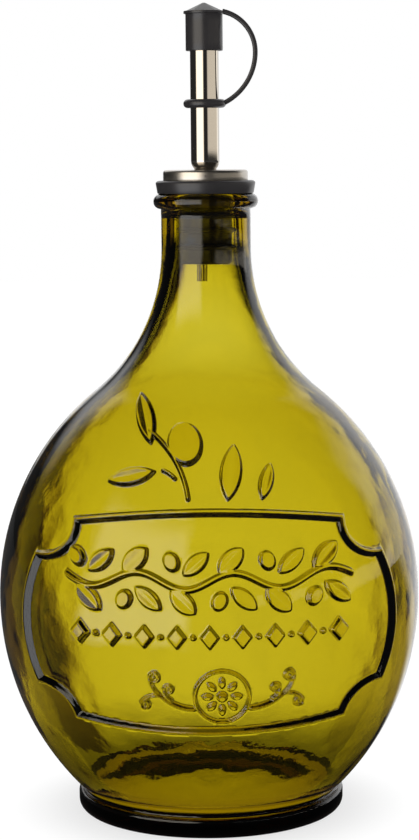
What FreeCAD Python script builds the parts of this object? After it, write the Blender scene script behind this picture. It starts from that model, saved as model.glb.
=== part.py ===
"""Glass oil bottle with a push-in steel pourer and a tethered rubber cap.

Millimetres, +Z up. The origin is the middle of the ring that the bottle stands on, and the
raised panel faces -Y. Every size below goes into the sheet, and every feature is bound to it.
"""

import FreeCAD, Part
import math
import os
import types

import Sketcher

DIMENSIONS = {
    # Glass body, a revolved profile of tangent arcs
    "body_diameter": 133.5,
    "widest_height": 69.0,
    "belly_radius": 86.7,
    "shoulder_radius": 83.5,
    "neck_diameter": 28.2,
    "neck_length": 17.0,
    "bottle_height": 196.1,
    "lip_bead_radius": 2.4,
    "neck_bore": 19.0,
    "mouth_rounding": 0.8,
    "body_wall": 3.6,
    # Foot ring and floor
    "foot_diameter": 85.0,
    "foot_height": 6.5,
    "foot_rounding": 2.8,
    "foot_top_rounding": 1.2,
    "standing_width": 4.0,
    "punt_height": 3.0,
    "floor_height": 9.0,
    "floor_corner_radius": 10.0,
    # Raised panel border, drawn from the front
    "panel_top": 105.2,
    "panel_bottom": 37.6,
    "panel_corner_reach": 40.5,
    "panel_corner_top": 101.2,
    "panel_corner_bottom": 40.2,
    "panel_side_reach": 52.0,
    "panel_side_top": 90.0,
    "panel_side_bottom": 49.0,
    "panel_middle_reach": 56.8,
    "panel_notch_radius": 10.6,
    "border_width": 3.0,
    "border_relief": 1.2,
    # Ribbed rubber stopper
    "plug_diameter": 16.4,
    "plug_length": 21.9,
    "plug_chamfer": 1.0,
    "rib_count": 3,
    "rib_pitch": 5.15,
    "rib_thickness": 1.6,
    "rib_edge": 0.8,
    "first_rib_depth": 6.2,
    "stopper_clearance": 0.08,
    "flange_diameter": 31.4,
    "flange_taper": 0.6,
    "flange_height": 4.0,
    "flange_rounding": 0.5,
    # Pressed steel collar over the stopper
    "collar_diameter": 26.6,
    "collar_height": 3.3,
    "collar_sheet": 0.6,
    "collar_rounding": 0.9,
    # Steel spout tube, narrower below its swage
    "tube_diameter": 9.0,
    "tube_neck_diameter": 7.0,
    "tube_wall": 0.5,
    "swage_height": 2.6,
    "swage_lift": 0.4,
    "spout_length": 47.6,
    "tip_rounding": 0.2,
    # Breather tube inside the spout
    "breather_diameter": 3.3,
    "breather_wall": 0.4,
    "breather_drop": 5.4,
    "breather_length": 52.0,
    "breather_clearance": 0.05,
    # Rubber cap
    "cap_diameter": 11.6,
    "cap_skirt": 11.0,
    "cap_roof": 1.3,
    "cap_roof_gap": 0.3,
    "cap_clearance": 0.08,
    "cap_rim_rounding": 0.4,
    "cap_brim_diameter": 12.8,
    "cap_brim_thickness": 0.9,
    "cap_facets": 10,
    "cap_point_diameter": 11.6,
    "cap_point_height": 2.5,
    "cap_point_flat": 0.9,
    # Tether strap and ring
    "ring_height": 2.7,
    "ring_diameter": 13.4,
    "ring_below_tip": 27.0,
    "ring_clearance": 0.08,
    "strap_width": 3.0,
    "strap_thickness": 1.5,
    "strap_rounding": 0.5,
    "strap_reach": 15.9,
    "strap_below_tip": 11.1,
    "strap_gap": 0.35,
}

SUB_PARTS = (
    "glass_bottle",
    "rubber_stopper",
    "steel_collar",
    "spout_tube",
    "breather_tube",
    "spout_cap",
    "tether_strap",
    "tether_ring",
)


class Size:
    """A length that carries its number and the sheet expression that gives it."""

    def __init__(self, value, text):
        self.value = float(value)
        self.text = text

    def joined(self, other, sign, value):
        return Size(value, "(" + self.text + " " + sign + " " + sized(other).text + ")")

    def __add__(self, other):
        return self.joined(other, "+", self.value + sized(other).value)

    def __sub__(self, other):
        return self.joined(other, "-", self.value - sized(other).value)

    def __mul__(self, other):
        return self.joined(other, "*", self.value * sized(other).value)

    def __truediv__(self, other):
        return self.joined(other, "/", self.value / sized(other).value)

    def __neg__(self):
        return Size(-self.value, "(-1 * " + self.text + ")")


def sized(number):
    return number if isinstance(number, Size) else Size(number, repr(number))


def root(size):
    return Size(math.sqrt(size.value), "sqrt(" + size.text + ")")


def side(hypotenuse, leg):
    """The other leg of a right triangle."""
    return root(hypotenuse * hypotenuse - leg * leg)


def bulge_radius(half_chord, rise):
    """The radius of an arc from half its chord and its rise."""
    return (half_chord * half_chord + rise * rise) / (rise * 2)


def make_sheet(doc):
    """The sheet of driving dimensions, and the same sizes by name."""
    sheet = doc.addObject("Spreadsheet::Sheet", "dims")
    for row, (name, value) in enumerate(DIMENSIONS.items(), start=1):
        sheet.set("A%d" % row, name)
        sheet.set("B%d" % row, str(value))
        sheet.setAlias("B%d" % row, name)
    doc.recompute()
    sizes = {name: Size(value, "dims." + name) for name, value in DIMENSIONS.items()}
    return types.SimpleNamespace(**sizes)


def make_body(doc, label):
    body = doc.addObject("PartDesign::Body", label + "_body")
    body.Label = label
    return body


def make_sketch(body, name, role, lift=None):
    """A sketch on one of the body's own origin planes, lifted off it by a size."""
    sketch = body.newObject("Sketcher::SketchObject", name)
    plane = [item for item in body.Origin.OriginFeatures if item.Role == role][0]
    sketch.AttachmentSupport = (plane, [""])
    sketch.MapMode = "FlatFace"
    if lift is not None:
        sketch.setExpression("AttachmentOffset.Base.z", lift.text)
    return sketch


def bind(target, prop, size):
    target.setExpression(prop, sized(size).text)


def hold(sketch, kind, places, size):
    """Add a dimension to a sketch and bind it to the sheet."""
    index = sketch.addConstraint(Sketcher.Constraint(kind, *places, size.value))
    bind(sketch, "Constraints[%d]" % index, size)


def vector(corner):
    return FreeCAD.Vector(corner[0].value, corner[1].value, 0)


def arc_between(start, end, centre):
    """The shorter arc round a centre, and whether it runs from end to start."""
    first = math.atan2(start.y - centre.y, start.x - centre.x)
    last = math.atan2(end.y - centre.y, end.x - centre.x)
    turn = (last - first + math.pi) % (2 * math.pi) - math.pi
    circle = Part.Circle(centre, FreeCAD.Vector(0, 0, 1), start.distanceToPoint(centre))
    if turn > 0:
        return Part.ArcOfCircle(circle, first, first + turn), False
    return Part.ArcOfCircle(circle, last, last - turn), True


def pin_corner(sketch, edge, point, corner):
    """Hold one end of an edge at a corner, on an axis where the corner lies on it."""
    for kind, size, axis in (("DistanceX", corner[0], -2), ("DistanceY", corner[1], -1)):
        if size.value == 0.0:
            sketch.addConstraint(Sketcher.Constraint("PointOnObject", edge, point, axis))
        else:
            hold(sketch, kind, (edge, point), size)


def outline(sketch, steps, closed=True):
    """Draw edges through the steps and bind each corner and radius to the sheet.

    A step is a corner (x, y), or (x, y, centre, radius) where an arc leads to it.
    """
    steps = [tuple(sized(item) if index < 2 else item for index, item in enumerate(step))
             for step in steps]
    pairs = list(zip(steps[:-1], steps[1:]))
    if closed:
        pairs.append((steps[-1], steps[0]))
    joints = []
    for before, after in pairs:
        start = vector(before)
        end = vector(after)
        if len(after) == 2:
            edge = sketch.addGeometry(Part.LineSegment(start, end), False)
            joints.append((edge, 1, 2))
            continue
        centre = tuple(sized(item) for item in after[2])
        shape, turned = arc_between(start, end, vector(centre))
        edge = sketch.addGeometry(shape, False)
        joints.append((edge, 2, 1) if turned else (edge, 1, 2))
    following = joints[1:] + joints[:1] if closed else joints[1:]
    for (edge, _, last), (next_edge, first, _) in zip(joints, following):
        sketch.addConstraint(Sketcher.Constraint("Coincident", edge, last, next_edge, first))
    for (before, after), (edge, first, last) in zip(pairs, joints):
        pin_corner(sketch, edge, first, before)
        if len(after) > 2:
            hold(sketch, "Radius", (edge,), sized(after[3]))
    if not closed:
        pin_corner(sketch, joints[-1][0], joints[-1][2], pairs[-1][1])


def ring_outline(sketch, centre, outer_radius, inner_radius):
    """Two circles round one centre."""
    for radius in (outer_radius, inner_radius):
        circle = Part.Circle(vector(centre), FreeCAD.Vector(0, 0, 1), radius.value)
        edge = sketch.addGeometry(circle, False)
        pin_corner(sketch, edge, 3, centre)
        hold(sketch, "Radius", (edge,), radius)


def revolve(body, name, steps):
    """A revolved solid about Z from a profile drawn in X and Z."""
    sketch = make_sketch(body, name + "_profile", "XZ_Plane")
    outline(sketch, steps)
    feature = body.newObject("PartDesign::Revolution", name)
    feature.Profile = (sketch, [""])
    feature.ReferenceAxis = (sketch, ["V_Axis"])
    feature.Angle = 360
    return feature


def body_arcs(size):
    """Radii and centres that the glass profile and the raised border share.

    The flare's radius is the one that touches both the shoulder and the straight neck.
    """
    body_radius = size.body_diameter / 2
    neck_radius = size.neck_diameter / 2
    bore_radius = size.neck_bore / 2
    belly_centre = (body_radius - size.belly_radius, size.widest_height)
    shoulder_centre = (body_radius - size.shoulder_radius, size.widest_height)
    neck_out = neck_radius - shoulder_centre[0]
    neck_up = size.bottle_height - size.neck_length - size.widest_height
    shoulder = size.shoulder_radius
    flare_radius = (neck_out * neck_out + neck_up * neck_up - shoulder * shoulder) / (
        (shoulder - neck_out) * 2)
    flare_reach = neck_radius + flare_radius
    across = flare_reach - shoulder_centre[0]
    return types.SimpleNamespace(
        body_radius=body_radius, neck_radius=neck_radius, bore_radius=bore_radius,
        belly_centre=belly_centre, shoulder_centre=shoulder_centre,
        flare_radius=flare_radius, flare_reach=flare_reach, across=across,
    )


def flare_join(arcs, shoulder_radius, flare_radius):
    """Where the shoulder arc runs into the flare of the neck, and the flare's centre."""
    span = shoulder_radius + flare_radius
    rise = side(span, arcs.across)
    centre = (arcs.flare_reach, arcs.shoulder_centre[1] + rise)
    join = (
        arcs.shoulder_centre[0] + shoulder_radius * arcs.across / span,
        arcs.shoulder_centre[1] + shoulder_radius * rise / span,
    )
    return join, centre


def belly_point(size, arcs, radius, level):
    """The point of a lower body arc at a height."""
    return (arcs.belly_centre[0] + side(radius, size.widest_height - level), level)


def shoulder_point(size, arcs, radius, level):
    """The point of an upper body arc at a height."""
    return (arcs.shoulder_centre[0] + side(radius, level - size.widest_height), level)


def glass_profile(size, arcs):
    """The wall of the bottle in section, from the punt up the outside and down the inside."""
    foot_radius = size.foot_diameter / 2
    standing_radius = foot_radius - size.foot_rounding
    punt_radius = standing_radius - size.standing_width
    punt_bend = bulge_radius(punt_radius, size.punt_height)
    crown_radius = foot_radius - size.foot_top_rounding
    join, flare = flare_join(arcs, size.shoulder_radius, arcs.flare_radius)
    bead = size.lip_bead_radius
    bead_centre = (arcs.neck_radius, size.bottle_height - bead)
    mouth = size.mouth_rounding
    mouth_centre = (arcs.bore_radius + mouth, size.bottle_height - mouth)
    inner_flare_radius = arcs.flare_radius + arcs.neck_radius - arcs.bore_radius
    inner_shoulder = size.shoulder_radius - size.body_wall
    inner_belly = size.belly_radius - size.body_wall
    inner_join, inner_flare = flare_join(arcs, inner_shoulder, inner_flare_radius)
    corner = size.floor_corner_radius
    corner_span = inner_belly - corner
    corner_centre = belly_point(size, arcs, corner_span, size.floor_height + corner)
    corner_end = (
        arcs.belly_centre[0] + (corner_centre[0] - arcs.belly_centre[0]) * inner_belly / corner_span,
        arcs.belly_centre[1] + (corner_centre[1] - arcs.belly_centre[1]) * inner_belly / corner_span,
    )
    return [
        (0, size.punt_height),
        (punt_radius, 0, (0, size.punt_height - punt_bend), punt_bend),
        (standing_radius, 0),
        (foot_radius, size.foot_rounding, (standing_radius, size.foot_rounding), size.foot_rounding),
        (foot_radius, size.foot_height - size.foot_top_rounding),
        (crown_radius, size.foot_height,
         (crown_radius, size.foot_height - size.foot_top_rounding), size.foot_top_rounding),
        belly_point(size, arcs, size.belly_radius, size.foot_height),
        (arcs.body_radius, size.widest_height, arcs.belly_centre, size.belly_radius),
        join + (arcs.shoulder_centre, size.shoulder_radius),
        (arcs.neck_radius, flare[1], flare, arcs.flare_radius),
        (arcs.neck_radius, size.bottle_height - bead * 2),
        (arcs.neck_radius + bead, size.bottle_height - bead, bead_centre, bead),
        (arcs.neck_radius, size.bottle_height, bead_centre, bead),
        (arcs.bore_radius + mouth, size.bottle_height),
        (arcs.bore_radius, size.bottle_height - mouth, mouth_centre, mouth),
        (arcs.bore_radius, inner_flare[1]),
        inner_join + (inner_flare, inner_flare_radius),
        (arcs.body_radius - size.body_wall, size.widest_height, arcs.shoulder_centre, inner_shoulder),
        corner_end + (arcs.belly_centre, inner_belly),
        (corner_centre[0], size.floor_height, corner_centre, corner),
        (0, size.floor_height),
    ]


def relief_profile(size, arcs):
    """A band of the body's skin in section, from inside the wall to the top of the relief."""
    top = size.panel_top + size.border_width
    bottom = size.panel_bottom - size.border_width
    raised_belly = size.belly_radius + size.border_relief
    raised_shoulder = size.shoulder_radius + size.border_relief
    sunk_belly = size.belly_radius - size.body_wall / 2
    sunk_shoulder = size.shoulder_radius - size.body_wall / 2
    return [
        belly_point(size, arcs, raised_belly, bottom),
        (arcs.body_radius + size.border_relief, size.widest_height, arcs.belly_centre, raised_belly),
        shoulder_point(size, arcs, raised_shoulder, top) + (arcs.shoulder_centre, raised_shoulder),
        shoulder_point(size, arcs, sunk_shoulder, top),
        (arcs.body_radius - size.body_wall / 2, size.widest_height, arcs.shoulder_centre, sunk_shoulder),
        belly_point(size, arcs, sunk_belly, bottom) + (arcs.belly_centre, sunk_belly),
    ]


def notch_centre(start, end, radius):
    """The centre of a concave corner, on the outer side of the line from start to end."""
    half_x = (end[0] - start[0]) / 2
    half_z = (end[1] - start[1]) / 2
    half_chord = root(half_x * half_x + half_z * half_z)
    reach = side(radius, half_chord) / half_chord
    return (start[0] + half_x - half_z * reach, start[1] + half_z + half_x * reach)


def mirrored(point):
    return (-point[0], point[1])


def panel_outline(size):
    """The cartouche from the front: bowed edges joined by concave corners."""
    reach = size.panel_corner_reach
    top_bow = bulge_radius(reach, size.panel_top - size.panel_corner_top)
    bottom_bow = bulge_radius(reach, size.panel_corner_bottom - size.panel_bottom)
    side_half = (size.panel_side_top - size.panel_side_bottom) / 2
    side_middle = (size.panel_side_top + size.panel_side_bottom) / 2
    side_bow = bulge_radius(side_half, size.panel_middle_reach - size.panel_side_reach)
    side_centre = (size.panel_middle_reach - side_bow, side_middle)
    upper_corner = (reach, size.panel_corner_top)
    upper_side = (size.panel_side_reach, size.panel_side_top)
    lower_side = (size.panel_side_reach, size.panel_side_bottom)
    lower_corner = (reach, size.panel_corner_bottom)
    notch = size.panel_notch_radius
    upper_notch = notch_centre(upper_corner, upper_side, notch)
    lower_notch = notch_centre(lower_side, lower_corner, notch)
    return [
        mirrored(upper_corner) + (mirrored(upper_notch), notch),
        upper_corner + ((0, size.panel_top - top_bow), top_bow),
        upper_side + (upper_notch, notch),
        lower_side + (side_centre, side_bow),
        lower_corner + (lower_notch, notch),
        mirrored(lower_corner) + ((0, size.panel_bottom + bottom_bow), bottom_bow),
        mirrored(lower_side) + (mirrored(lower_notch), notch),
        mirrored(upper_side) + (mirrored(side_centre), side_bow),
    ]


def make_glass_bottle(doc, size):
    """The moulded bottle: a revolved wall with the panel border wrapped over its belly."""
    arcs = body_arcs(size)
    wall = make_body(doc, "glass_wall")
    revolve(wall, "bottle_wall", glass_profile(size, arcs))
    band = make_body(doc, "relief_band")
    revolve(band, "relief_skin", relief_profile(size, arcs))
    panel = doc.addObject("Sketcher::SketchObject", "panel_outline")
    panel.Placement.Rotation = FreeCAD.Rotation(FreeCAD.Vector(1, 0, 0), 90)
    outline(panel, panel_outline(size))
    doc.recompute()
    border = doc.addObject("Part::Offset2D", "border_ring")
    border.Source = panel
    border.Fill = True
    border.Join = "Intersection"
    bind(border, "Value", -size.border_width)
    prism = doc.addObject("Part::Extrusion", "border_prism")
    prism.Base = border
    prism.DirMode = "Custom"
    prism.Dir = FreeCAD.Vector(0, -1, 0)
    prism.Solid = True
    bind(prism, "LengthFwd", size.body_diameter)
    relief = doc.addObject("Part::Common", "border_relief")
    relief.Base = band
    relief.Tool = prism
    bottle = doc.addObject("Part::Fuse", "glass_bottle")
    bottle.Base = wall
    bottle.Tool = relief
    bottle.Label = "glass_bottle"


def make_rubber_stopper(doc, size):
    """The plug, its sealing ribs and the wide flange that rests on the lip."""
    body = make_body(doc, "rubber_stopper")
    hole = size.tube_neck_diameter / 2
    plug = size.plug_diameter / 2
    foot = size.bottle_height - size.plug_length
    rim = size.flange_diameter / 2
    under = rim - size.flange_taper
    top = size.bottle_height + size.flange_height
    boss = size.collar_diameter / 2 - size.collar_sheet
    boss_top = top + size.collar_height - size.collar_sheet
    rounding = size.flange_rounding
    revolve(body, "plug", [
        (hole, foot),
        (plug - size.plug_chamfer, foot),
        (plug, foot + size.plug_chamfer),
        (plug, size.bottle_height),
        (under, size.bottle_height),
        (rim, top - rounding),
        (rim - rounding, top, (rim - rounding, top - rounding), rounding),
        (boss, top),
        (boss, boss_top),
        (hole, boss_top),
    ])
    level = size.bottle_height - size.first_rib_depth
    reach = size.neck_bore / 2 - size.stopper_clearance
    rib = revolve(body, "rib", [
        (hole, level - size.rib_thickness / 2),
        (plug, level - size.rib_thickness / 2),
        (reach, level - size.rib_edge / 2),
        (reach, level + size.rib_edge / 2),
        (plug, level + size.rib_thickness / 2),
        (hole, level + size.rib_thickness / 2),
    ])
    doc.recompute()
    ribs = body.newObject("PartDesign::LinearPattern", "ribs")
    ribs.Originals = [rib]
    ribs.Direction = (rib.Profile[0], ["V_Axis"])
    ribs.Reversed = True
    bind(ribs, "Length", size.rib_pitch * (size.rib_count - 1))
    bind(ribs, "Occurrences", size.rib_count)
    body.Tip = ribs


def make_steel_collar(doc, size):
    """The pressed cup over the stopper's boss."""
    body = make_body(doc, "steel_collar")
    hole = size.tube_neck_diameter / 2
    rim = size.collar_diameter / 2
    foot = size.bottle_height + size.flange_height
    top = foot + size.collar_height
    sheet = size.collar_sheet
    rounding = size.collar_rounding
    revolve(body, "collar", [
        (rim - sheet, foot),
        (rim, foot),
        (rim, top - rounding),
        (rim - rounding, top, (rim - rounding, top - rounding), rounding),
        (hole, top),
        (hole, top - sheet),
        (rim - sheet, top - sheet),
    ])


def make_spout_tube(doc, size):
    """The spout, with a rounded swage down to the narrow run through the stopper."""
    body = make_body(doc, "spout_tube")
    foot = size.bottle_height - size.plug_length
    outer = size.tube_diameter / 2
    outer_neck = size.tube_neck_diameter / 2
    inner = outer - size.tube_wall
    inner_neck = outer_neck - size.tube_wall
    swage = collar_top(size) + size.swage_lift
    shoulder = swage + size.swage_height
    bend = bulge_radius(size.swage_height, outer - outer_neck)
    tip = spout_tip(size)
    lip = size.tip_rounding
    revolve(body, "tube", [
        (inner_neck, foot),
        (outer_neck, foot),
        (outer_neck, swage),
        (outer, shoulder, (outer - bend, shoulder), bend),
        (outer, tip - lip),
        (outer - lip, tip, (outer - lip, tip - lip), lip),
        (inner, tip),
        (inner, shoulder),
        (inner_neck, swage, (inner - bend, shoulder), bend),
    ])


def collar_top(size):
    return size.bottle_height + size.flange_height + size.collar_height


def spout_tip(size):
    return collar_top(size) + size.spout_length


def ring_level(size):
    return spout_tip(size) - size.ring_below_tip


def strap_level(size):
    return spout_tip(size) - size.strap_below_tip


def make_breather_tube(doc, size):
    """The thin air tube that lies along the spout's inner wall."""
    body = make_body(doc, "breather_tube")
    foot = size.bottle_height - size.plug_length - size.breather_drop
    radius = size.breather_diameter / 2
    bore = size.tube_neck_diameter / 2 - size.tube_wall
    centre = (-(bore - size.breather_clearance - radius), sized(0))
    sketch = make_sketch(body, "breather_section", "XY_Plane", foot)
    ring_outline(sketch, centre, radius, radius - size.breather_wall)
    pad = body.newObject("PartDesign::Pad", "breather")
    pad.Profile = (sketch, [""])
    bind(pad, "Length", size.breather_length)


def make_spout_cap(doc, size):
    """The cap: a skirt over the spout, a thin brim and a faceted point."""
    body = make_body(doc, "cap_cup")
    bore = size.tube_diameter / 2 + size.cap_clearance
    rim = size.cap_diameter / 2
    brim = size.cap_brim_diameter / 2
    ceiling = spout_tip(size) + size.cap_roof_gap
    top = ceiling + size.cap_roof
    foot = ceiling - size.cap_skirt
    edge = size.cap_rim_rounding
    revolve(body, "cap", [
        (0, ceiling),
        (bore, ceiling),
        (bore, foot),
        (rim - edge, foot),
        (rim, foot + edge, (rim - edge, foot + edge), edge),
        (rim, top - size.cap_brim_thickness),
        (brim, top - size.cap_brim_thickness),
        (brim, top),
        (0, top),
    ])
    facet_in = Size(math.cos(math.pi / size.cap_facets.value), "cos(180 deg / dims.cap_facets)")
    slope_run = size.cap_point_diameter / 2 * facet_in - size.cap_point_flat / 2
    base = doc.addObject("Part::RegularPolygon", "point_base")
    bind(base, "Polygon", size.cap_facets)
    bind(base, "Circumradius", size.cap_point_diameter / 2)
    bind(base, "Placement.Base.z", top)
    point = doc.addObject("Part::Extrusion", "point_facets")
    point.Base = base
    point.Solid = True
    point.DirMode = "Custom"
    point.Dir = FreeCAD.Vector(0, 0, 1)
    bind(point, "LengthFwd", size.cap_point_height)
    point.setExpression("TaperAngle", "-atan(" + (slope_run / size.cap_point_height).text + ")")
    cap = doc.addObject("Part::Fuse", "spout_cap")
    cap.Base = body
    cap.Tool = point
    cap.Label = "spout_cap"


def make_tether_strap(doc, size):
    """The strap, bent in two arcs from the cap's brim out and back to the ring."""
    body = make_body(doc, "tether_strap")
    brim = size.cap_brim_diameter / 2
    brim_level = spout_tip(size) + size.cap_roof_gap + size.cap_roof - size.cap_brim_thickness / 2
    cap_end = (brim + size.strap_gap, brim_level)
    ring_end = (size.ring_diameter / 2 + size.strap_gap, ring_level(size) + size.ring_height / 4)
    middle_level = strap_level(size)
    middle = (size.strap_reach, middle_level)
    section = make_sketch(body, "strap_section", "XY_Plane", middle_level)
    half_width = size.strap_width / 2
    half_thick = size.strap_thickness / 2
    rounding = size.strap_rounding
    outline(section, rounded_rectangle(size.strap_reach, half_thick, half_width, rounding))
    for name, end in (("upper", cap_end), ("lower", ring_end)):
        rise = size.strap_reach - end[0]
        drop = end[1] - middle_level
        bend = bulge_radius(drop, rise)
        path = make_sketch(body, name + "_bend", "XZ_Plane")
        outline(path, [middle, end + ((size.strap_reach - bend, middle_level), bend)], closed=False)
        doc.recompute()
        pipe = body.newObject("PartDesign::AdditivePipe", name + "_strap")
        pipe.Profile = section
        pipe.Spine = (path, ["Edge1"])


def rounded_rectangle(middle, half_x, half_y, rounding):
    """A rectangle about (middle, 0) with rounded corners."""
    left = middle - half_x
    right = middle + half_x
    inner_left = left + rounding
    inner_right = right - rounding
    inner = half_y - rounding
    return [
        (inner_left, -half_y, (inner_left, -inner), rounding),
        (inner_right, -half_y),
        (right, -inner, (inner_right, -inner), rounding),
        (right, inner),
        (inner_right, half_y, (inner_right, inner), rounding),
        (inner_left, half_y),
        (left, inner, (inner_left, inner), rounding),
        (left, -inner),
    ]


def make_tether_ring(doc, size):
    """The ring that grips the spout, flat inside and round outside."""
    body = make_body(doc, "tether_ring")
    bore = size.tube_diameter / 2 + size.ring_clearance
    half = size.ring_height / 2
    rim = size.ring_diameter / 2
    level = ring_level(size)
    low = level - half
    high = level + half
    centre = (rim - half, level)
    revolve(body, "ring", [
        (bore, low),
        (rim - half, low),
        (rim, level, centre, half),
        (rim - half, high, centre, half),
        (bore, high),
    ])


def check(doc):
    """Stop if any object failed to build."""
    for item in doc.Objects:
        if "Invalid" in item.State or "Error" in item.State:
            raise RuntimeError(item.Label + " failed: " + str(item.State))


def write(doc):
    """Write each sub-part to its own file, once all of them are sound."""
    shapes = {}
    for label in SUB_PARTS:
        shape = doc.getObjectsByLabel(label)[0].Shape
        if shape.isNull() or not shape.isValid() or len(shape.Solids) != 1:
            raise RuntimeError(label + " isn't one valid solid")
        shapes[label] = shape
    os.makedirs("parts", exist_ok=True)
    for label, shape in shapes.items():
        shape.exportStep(os.path.join("parts", label + ".step"))
        print(label, "%.1f mm3" % shape.Volume)


def main():
    doc = FreeCAD.newDocument("glass_oil_bottle")
    size = make_sheet(doc)
    make_glass_bottle(doc, size)
    make_rubber_stopper(doc, size)
    make_steel_collar(doc, size)
    make_spout_tube(doc, size)
    make_breather_tube(doc, size)
    make_spout_cap(doc, size)
    make_tether_strap(doc, size)
    make_tether_ring(doc, size)
    doc.recompute()
    check(doc)
    write(doc)


main()
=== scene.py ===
"""Glass oil bottle with a steel pourer and a tethered rubber cap, dressed around its CAD frame.

Metres, +Z up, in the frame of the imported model. The raised panel faces -Y.
"""

import math
from collections import Counter

import bpy
import numpy as np
from mathutils import Matrix, Vector


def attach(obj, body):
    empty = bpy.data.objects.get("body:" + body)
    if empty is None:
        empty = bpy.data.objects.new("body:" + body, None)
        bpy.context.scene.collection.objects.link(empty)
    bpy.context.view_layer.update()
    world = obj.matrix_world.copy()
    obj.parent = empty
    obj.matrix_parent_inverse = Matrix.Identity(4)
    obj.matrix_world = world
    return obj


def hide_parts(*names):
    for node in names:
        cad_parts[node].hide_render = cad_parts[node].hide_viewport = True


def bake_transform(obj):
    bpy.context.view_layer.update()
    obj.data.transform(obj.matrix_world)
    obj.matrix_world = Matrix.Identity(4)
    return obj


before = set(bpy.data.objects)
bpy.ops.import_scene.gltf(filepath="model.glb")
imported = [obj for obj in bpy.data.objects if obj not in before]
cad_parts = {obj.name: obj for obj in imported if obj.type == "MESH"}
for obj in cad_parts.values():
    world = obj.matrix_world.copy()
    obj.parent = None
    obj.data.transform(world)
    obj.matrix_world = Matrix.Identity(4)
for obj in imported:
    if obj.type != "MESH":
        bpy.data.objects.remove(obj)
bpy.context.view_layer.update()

bl_info = {
    "name": "Glass oil bottle",
    "version": (1, 0, 0),
    "blender": (4, 5, 0),
    "location": "View3D > Sidebar > Oil bottle",
    "description": "Models a moulded glass oil bottle with its pourer, cap and studio",
    "category": "Add Mesh",
}

MM = 0.001
MERGE_DISTANCE = 0.002 * MM
WHITE = (1.0, 1.0, 1.0, 1.0)
GLASS_IOR = 1.52
RUBBER_IOR = 1.52


def length(label, says, millimetres):
    """A length property with its default in millimetres."""
    return bpy.props.FloatProperty(
        name=label, description=says, default=millimetres * MM, unit="LENGTH", precision=5)


def colour(label, says, hex_code):
    """A colour property with its default as an sRGB hex code."""
    return bpy.props.FloatVectorProperty(
        name=label, description=says, default=linear(hex_code)[:3], subtype="COLOR",
        size=3, min=0.0, max=1.0)


def linear(hex_code):
    """Turn an sRGB hex code to linear RGBA."""
    parts = [int(hex_code[place:place + 2], 16) / 255 for place in (1, 3, 5)]
    return tuple(c / 12.92 if c <= 0.04045 else ((c + 0.055) / 1.055) ** 2.4 for c in parts) + (1.0,)


class GlassSizes(bpy.types.PropertyGroup):
    """Sizes of the moulded glass body and its raised ornament."""

    body_diameter: length("Body diameter", "Across the widest ring of the body", 133.5)
    widest_height: length("Widest height", "Height of the widest ring", 69.0)
    belly_radius: length("Belly radius", "Arc of the body below its widest ring", 86.7)
    shoulder_radius: length("Shoulder radius", "Arc of the body above its widest ring", 83.5)
    neck_diameter: length("Neck diameter", "Across the straight neck", 28.2)
    neck_length: length("Neck length", "Straight neck up to the lip's top", 17.0)
    bottle_height: length("Bottle height", "Height of the lip's top", 196.1)
    lip_bead: length("Lip bead", "Radius of the round bead at the lip", 2.4)
    neck_bore: length("Neck bore", "Bore that the stopper seals in", 19.0)
    bore_depth: length("Bore depth", "Straight bore below the lip's top", 10.1)
    mouth_rounding: length("Mouth rounding", "Rounded edge of the mouth", 0.8)
    wall: length("Wall", "Thickness of the body's wall", 3.6)
    foot_diameter: length("Foot diameter", "Across the foot ring", 85.0)
    foot_height: length("Foot height", "Height of the foot ring", 6.5)
    foot_rounding: length("Foot rounding", "Lower edge of the foot", 2.8)
    foot_top_rounding: length("Foot top rounding", "Upper edge of the foot", 1.2)
    standing_width: length("Standing width", "Width of the ring that stands on the table", 4.0)
    punt_height: length("Punt height", "Rise of the hollow under the foot", 3.0)
    floor_height: length("Floor height", "Inner floor above the table", 9.0)
    floor_corner: length("Floor corner", "Inner corner between floor and wall", 10.0)
    border_relief: length("Border relief", "Height of the panel's border", 1.5)
    ornament_relief: length("Ornament relief", "Height of leaves, fruit and scrolls", 1.4)
    absorption: bpy.props.FloatProperty(
        name="Absorption", description="Density of the colour in the glass, per metre",
        default=625.0, min=0.0)


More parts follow.
